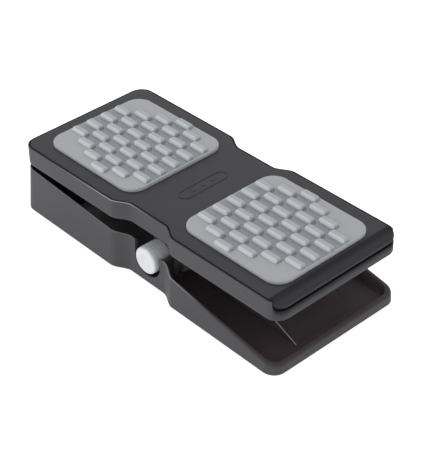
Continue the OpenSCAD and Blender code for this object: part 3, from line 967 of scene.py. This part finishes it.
def make_blocks(tree, pattern, side, name):
    """All the grip blocks of one pad, on its top face."""
    made = tree.grow(name, {
        "Columns": COLUMNS, "Longest": LONGEST_COLUMN, "Column pitch": COLUMN_PITCH * MM,
        "Row pitch": ROW_PITCH * MM, "Side": float(side), "Block": pattern,
        "Finish": FINISHES["grip_rubber"]})
    made.data.transform(TREAD_FRAME @ Matrix.Translation(
        Vector((TREAD_SHIFT + side * PAD_OFFSET, 0, TREAD_TOP + PAD_RISE)) * MM))
    soften(made, 60)
    return made


# Base -----------------------------------------------------------------------

def wall_top(x):
    """Height of the base's wall along its length."""
    half = BASE_LENGTH / 2
    return min(TOE_WALL_TOP - TOE_FALL * (x + half), HEEL_WALL_TOP + HEEL_CLIMB * (half - x))


def notched_top(x, y):
    """Height of the wall, with the knob's notch in the near waist."""
    if y > 0 or abs(x) >= NOTCH_RADIUS or abs(y) < NOTCH_SIDE:
        return wall_top(x)
    return KNOB_HEIGHT - math.sqrt(max(NOTCH_RADIUS ** 2 - x * x, 0))


def leaning(x, y, z):
    """Where a point of the foot's outline comes to at a height, on the leaning wall."""
    share = (z - BASE_BOTTOM) / LEAN_HEIGHT
    lean_x, lean_y = share * WALL_LEAN[0] / BASE_LENGTH, share * WALL_LEAN[1] / BASE_WIDTH
    return (x * (1 - lean_x), y * (1 - lean_y), z)


def notch_stations():
    """Places along the near side that follow the knob's notch."""
    turns = [math.pi * i / NOTCH_STEPS for i in range(NOTCH_STEPS + 1)]
    spread = [NOTCH_RADIUS * math.cos(a) for a in turns]
    return spread + [-NOTCH_RADIUS - 0.02, NOTCH_RADIUS + 0.02]


def heel_share(x):
    """From 0 along the sides to 1 at the heel."""
    return ease((x - HEEL_START) / HEEL_BLEND)


def rim_section(x):
    """The wall's top from outside to inside, as (distance in, drop) pairs.

    It is crisp along the sides and soft at the heel.
    """
    heel = heel_share(x)
    roll = 0.3 + 1.6 * heel
    land = roll + WALL_LAND * (1 - heel)
    quarter = [math.pi / 2 * i / 5 for i in range(6)]
    section = [(0.0, roll + 2.4)]
    section += [(roll * (1 - math.cos(a)), roll * (1 - math.sin(a))) for a in quarter]
    return section + [(land, 0.0), (land + 0.12, 0.05), (land + 0.25, 0.25),
                      (WALL, 3.5 - 2 * heel)]


def rim_marks(k, points):
    """How the wall's top is finished at point k of its section.

    It has a painted highlight along the sides' rim, and painted shade on the heel lip and inside.
    """
    if k > RIM_POINTS:
        return 1.0
    shares = []
    for x, _ in points:
        # a painted highlight along the sides' rim, painted shade on the heel lip's roll and inside
        most = RIM_HIGHLIGHT_HEEL_HALF if x > 0 else RIM_HIGHLIGHT_TOE_HALF
        tone_shift = most * (1 - ease((x - RIM_HIGHLIGHT_END) / 15)) * ease((abs(x) - NOTCH_RADIUS) / 3)
        shares.append(min(k * 0.3, 1.0) * heel_share(x) - tone_shift * (k > 1))
    return shares


def make_base():
    """The base's tray: leaning walls with a crisp rim, a soft heel lip and the knob's notch."""
    near = notch_stations()

    def foot(inset):
        length, width = BASE_LENGTH - 2 * inset, BASE_WIDTH - 2 * inset
        return outline(length, width, BASE_CORNER - inset, BASE_WAIST, near)

    def tray(inset):
        length = BASE_LENGTH - WALL_LEAN[0] - 2 * (WALL + inset)
        width = BASE_WIDTH - WALL_LEAN[1] - 2 * (WALL + inset)
        return outline(length, width, max(BASE_CORNER - 2.4 - inset, 0.6), BASE_WAIST, near)

    outer, inner = foot(0), tray(0)
    rings = [[(x, y, BASE_BOTTOM) for x, y in foot(0.5)],
             [(x, y, BASE_BOTTOM + 0.5) for x, y in outer]]
    marks = [0.0, 0.0]
    sections = [rim_section(x) for x, _ in outer]
    for k in range(len(sections[0])):
        ring = []
        for (x, y), (ix, iy), section in zip(outer, inner, sections):
            inward, drop = section[k]
            height = max(notched_top(x, y) - drop, BASE_FLOOR + FLOOR_FILLET + 0.1)
            ox, oy, z = leaning(x, y, height)
            share = min(inward / WALL, 1.0)
            ring.append((ox + (ix - ox) * share, oy + (iy - oy) * share, z))
        rings.append(ring)
        marks.append(rim_marks(k, outer))
    for i in range(5):
        turn = math.pi / 2 * i / 4
        inset = FLOOR_FILLET * (1 - math.cos(turn))
        rise = FLOOR_FILLET * (1 - math.sin(turn))
        rings.append([(x, y, BASE_FLOOR + rise) for x, y in tray(inset)])
        # the floor and its fillet get the painted shade of the inside
        marks.append(1.0)
    return cut(mesh_object("base_tray", loft(rings, marks=marks), 40), base_cutters())


def box_middle(node):
    """The middle of a CAD node's box, in millimetres."""
    return [(low + high) / 2 / MM for low, high in zip(*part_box(node))]


def base_cutters():
    """What is taken out of the tray: the toe wall's openings and the recesses underneath."""
    along_x = Matrix.Rotation(math.pi / 2, 4, "Y")
    toe = BASE_LOW.x / MM - 2
    socket = (toe, *box_middle("jack_nut")[1:])
    recess_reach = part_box("jack_nut")[0].x / MM - toe + 1.0
    _, slot_y, slot_z = box_middle("switch_body")
    half_y, half_z = SLOT_HALF
    cutters = [bar("socket_hole", socket, along_x, SOCKET_HOLE, 12),
               bar("socket_recess", socket, along_x, SOCKET_RECESS, recess_reach),
               block("switch_slot", (toe, slot_y - half_y, slot_z - half_z),
                     (toe + 12, slot_y + half_y, slot_z + half_z))]
    for k in range(1, 5):
        x, y, _ = box_middle(f"base_screw_{k}")
        cutters.append(bar("screw_recess", (x, y, -1), Matrix.Identity(4), SCREW_RECESS, 3.0))
    length, width, corner, depth = SHEET_RECESS
    for side in (-1, 1):
        plan = [(side * SHEET_OFFSET + x, y) for x, y in rounded_rectangle(length, width, corner)]
        cutters.append(prism("sheet_recess", plan, -1, depth))
    return cutters


def marked(made, value):
    """Puts one value of the attribute "mark" on all of a piece's points."""
    layer = made.data.attributes.new("mark", "FLOAT", "POINT")
    layer.data.foreach_set("value", [value] * len(made.data.vertices))
    return made


def make_cheek():
    """The rib beside the knob, in the painted shade of the base's inside."""
    wall = BASE_WAIST - BASE_WIDTH / 2 + WALL_LEAN[1] / 2 + WALL
    low = (CHEEK_INNER, wall - 0.2, BASE_FLOOR - 0.5)
    high = (CHEEK_INNER + CHEEK_THICKNESS, -CHEEK_REACH, KNOB_HEIGHT + CHEEK_RISE)
    return marked(bevel(block("knob_cheek", low, high), 0.3), 1.0)


def make_cover_edge():
    """A slim bead along the near sloping edge of the mechanism's cover, painted pale as a highlight."""
    low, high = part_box("mechanism_cover")
    start = Vector((COVER_CREASE, low.y / MM + 0.1, high.z / MM - 0.1))
    end = Vector((high.x / MM - 0.4, low.y / MM + 0.1, low.z / MM + 0.2))
    turn = (end - start).to_track_quat("Z", "Y").to_matrix().to_4x4()
    return marked(bar("cover_edge", start, turn, COVER_BEAD, (end - start).length, 12), -1.0)


# Knob -----------------------------------------------------------------------

def knob_ribs_tree():
    """Grip ribs round the knob's rear part."""
    tree = Geometry("knob_ribs", {
        "Count": "NodeSocketInt", "Radius": "NodeSocketFloat", "Length": "NodeSocketFloat",
        "Width": "NodeSocketFloat", "Middle": "NodeSocketVector", "Finish": "NodeSocketMaterial"})
    circle = tree.node("GeometryNodeMeshCircle", {}, {
        "Vertices": tree.size("Count"), "Radius": tree.size("Radius")})[0]
    rib = tree.node("GeometryNodeMeshCylinder", {}, {
        "Vertices": 8, "Radius": tree.size("Width"), "Depth": tree.size("Length")})[0]
    ribs = tree.node("GeometryNodeInstanceOnPoints", {}, {"Points": circle, "Instance": rib})[0]
    turned = tree.node("GeometryNodeTransform", {}, {
        "Geometry": ribs, "Translation": tree.size("Middle"), "Rotation": (math.pi / 2, 0, 0)})[0]
    tree.finish(turned)
    return tree


def make_knob():
    """The knob's smooth face, rolled rim and finely ribbed grip."""
    low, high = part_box("range_knob")
    radius = (high.x - low.x) / 2 / MM
    face, back = low.y / MM, high.y / MM
    depth = back - face
    grip = radius - KNOB_GRIP_INSET
    round_in, round_back = KNOB_ROUND
    profile = [(radius - 4.5, 0.1), (radius - 2.2, 0.04), (radius - round_in, 0.0)]
    for i in range(1, 9):
        a = math.pi / 2 * i / 8
        profile.append((radius - round_in + round_in * math.sin(a),
                        round_back - round_back * math.cos(a)))
    profile += [(radius, KNOB_FACE_END), (radius - 0.1, 4.9), (grip, 5.15), (grip, 5.5),
                (grip, depth - 0.3), (radius - 0.5, depth)]
    turn = Matrix.Rotation(-math.pi / 2, 4, "X")
    centre = Vector(((low.x + high.x) / 2, 0, (low.z + high.z) / 2)) / MM
    start = Vector((centre.x, face, centre.z))
    made = mesh_object("knob_turning", spin(profile, 120, start, turn), 40)
    rib_end = depth - 0.7
    ribs = knob_ribs_tree().grow("knob_ribs", {
        "Count": RIB_COUNT, "Radius": grip * MM, "Length": (rib_end - RIB_START) * MM,
        "Width": RIB_RADIUS * MM,
        "Middle": Vector((centre.x, face + (RIB_START + rib_end) / 2, centre.z)) * MM,
        "Finish": FINISHES["knob_plastic"]})
    soften(ribs, 50)
    return made, ribs


# Small parts ----------------------------------------------------------------

def refined(node, width):
    """A copy of a CAD node with its doubles merged and its edges eased."""
    bm = bmesh.new()
    bm.from_mesh(frame["nodes"][node].data)
    bmesh.ops.remove_doubles(bm, verts=bm.verts, dist=2e-6)
    bmesh.ops.dissolve_limit(bm, angle_limit=math.radians(1.0), verts=bm.verts, edges=bm.edges)
    mesh = bpy.data.meshes.new(node + "_eased")
    bm.to_mesh(mesh)
    bm.free()
    made = bpy.data.objects.new(node + "_eased", mesh)
    bpy.context.scene.collection.objects.link(made)
    return bevel(made, width)


def eased_width(node):
    """A bevel that suits the node's smallest side, in millimetres."""
    low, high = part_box(node)
    return min(0.3, 0.08 * min(high - low) / MM)


# Stage ----------------------------------------------------------------------

def area_light(name, place, size, power):
    """A soft box of plain white light, turned towards the pedal."""
    lamp = bpy.data.lights.new(name, "AREA")
    lamp.shape = "RECTANGLE"
    lamp.size, lamp.size_y = size
    lamp.energy = power
    made = bpy.data.objects.new(name, lamp)
    made.location = place
    made.rotation_euler = (Vector(LIGHT_AIM) - Vector(place)).to_track_quat("-Z", "Y").to_euler()
    bpy.context.scene.collection.objects.link(made)


def make_stage():
    """The floor, the even light of the room and two soft boxes."""
    bm = bmesh.new()
    bmesh.ops.create_grid(bm, x_segments=1, y_segments=1, size=FLOOR_SIZE)
    floor = mesh_object("studio_floor", bm)
    floor.data.materials.append(pale_floor())
    world = bpy.data.worlds.new("studio")
    world.use_nodes = True
    background = world.node_tree.nodes["Background"]
    background.inputs["Color"].default_value = (1, 1, 1, 1)
    background.inputs["Strength"].default_value = 1.0
    bpy.context.scene.world = world
    area_light("side_box", place=(-0.4, -1.4, 0.6), size=(1.2, 0.8), power=6)
    area_light("top_box", place=(-0.9, 0.75, 1.1), size=(1.0, 1.0), power=3.5)
    bpy.context.scene.view_settings.view_transform = "Standard"


def make_camera():
    """A long lens above the heel end, turned towards the knob side."""
    level = math.cos(VIEW_ELEVATION)
    back = Vector((math.sin(VIEW_AZIMUTH) * level, -math.cos(VIEW_AZIMUTH) * level,
                   math.sin(VIEW_ELEVATION)))
    lens = bpy.data.cameras.new("view")
    lens.lens = VIEW_LENS
    lens.sensor_width = VIEW_SENSOR
    made = bpy.data.objects.new("view", lens)
    made.location = VIEW_AIM + back * VIEW_DISTANCE
    made.rotation_euler = (-back).to_track_quat("-Z", "Y").to_euler()
    bpy.context.scene.collection.objects.link(made)
    bpy.context.scene.camera = made


make_camera()
make_stage()

for piece in (make_cap(), make_nose(), make_badge()):
    settle(piece, "treadle_cap", FINISHES["cap_plastic"])
settle(make_skirt(), "treadle_skirt", FINISHES["skirt_plastic"])

pattern = make_block_pattern()
field = block_field_tree()
for side, node in ((-1, "toe_pad"), (1, "heel_pad")):
    settle(make_pad_body(side, node + "_body"), node, FINISHES["grip_rubber"])
    settle(make_blocks(field, pattern, side, node + "_blocks"), node, FINISHES["grip_rubber"])
bpy.data.objects.remove(pattern)

for piece in (make_base(), make_cheek()):
    settle(piece, "base_shell", FINISHES["base_plastic"])
settle(make_cover_edge(), "mechanism_cover", FINISHES["base_plastic"])
for piece in make_knob():
    settle(piece, "range_knob", FINISHES["knob_plastic"])

SHAPED = {"treadle_cap", "treadle_skirt", "toe_pad", "heel_pad", "base_shell", "range_knob"}
for node in sorted(set(SLOTS) - SHAPED):
    settle(refined(node, eased_width(node)), node, FINISHES[SLOTS[node]])
